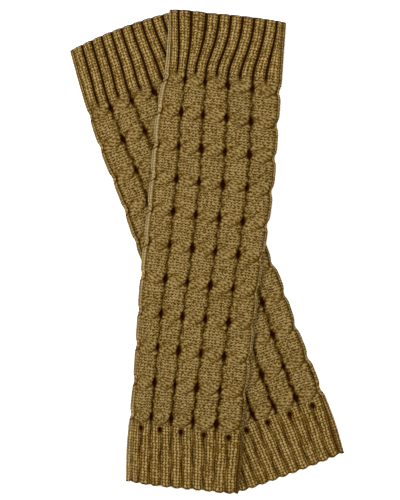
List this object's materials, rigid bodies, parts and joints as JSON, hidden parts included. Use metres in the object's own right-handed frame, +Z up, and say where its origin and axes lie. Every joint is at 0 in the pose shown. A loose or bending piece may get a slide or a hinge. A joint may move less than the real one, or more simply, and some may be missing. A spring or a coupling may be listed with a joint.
{
  "type": "pair of leg warmers",
  "caption": "Pair of footless cable-knit tube leg warmers with ribbed cuffs, laid flat and crossed over each other.",
  "frame": {"origin": "on the floor, under the middle of the crossed pair's box", "axes": "+Z up off the floor, +Y towards the top mouths, +X to the right seen from above"},
  "size_m": [0.2484, 0.4381, 0.0167],
  "materials": {
    "leg_yarn": "matt cable knit in olive brown yarn",
    "cuff_yarn": "matt ribbed knit in the same olive brown yarn"
  },
  "bodies": {
    "root": {"over_top_cuff": "cuff_yarn", "over_leg": "leg_yarn", "over_bottom_cuff": "cuff_yarn", "under_top_cuff": "cuff_yarn", "under_leg": "leg_yarn", "under_bottom_cuff": "cuff_yarn"}
  },
  "joints": []
}
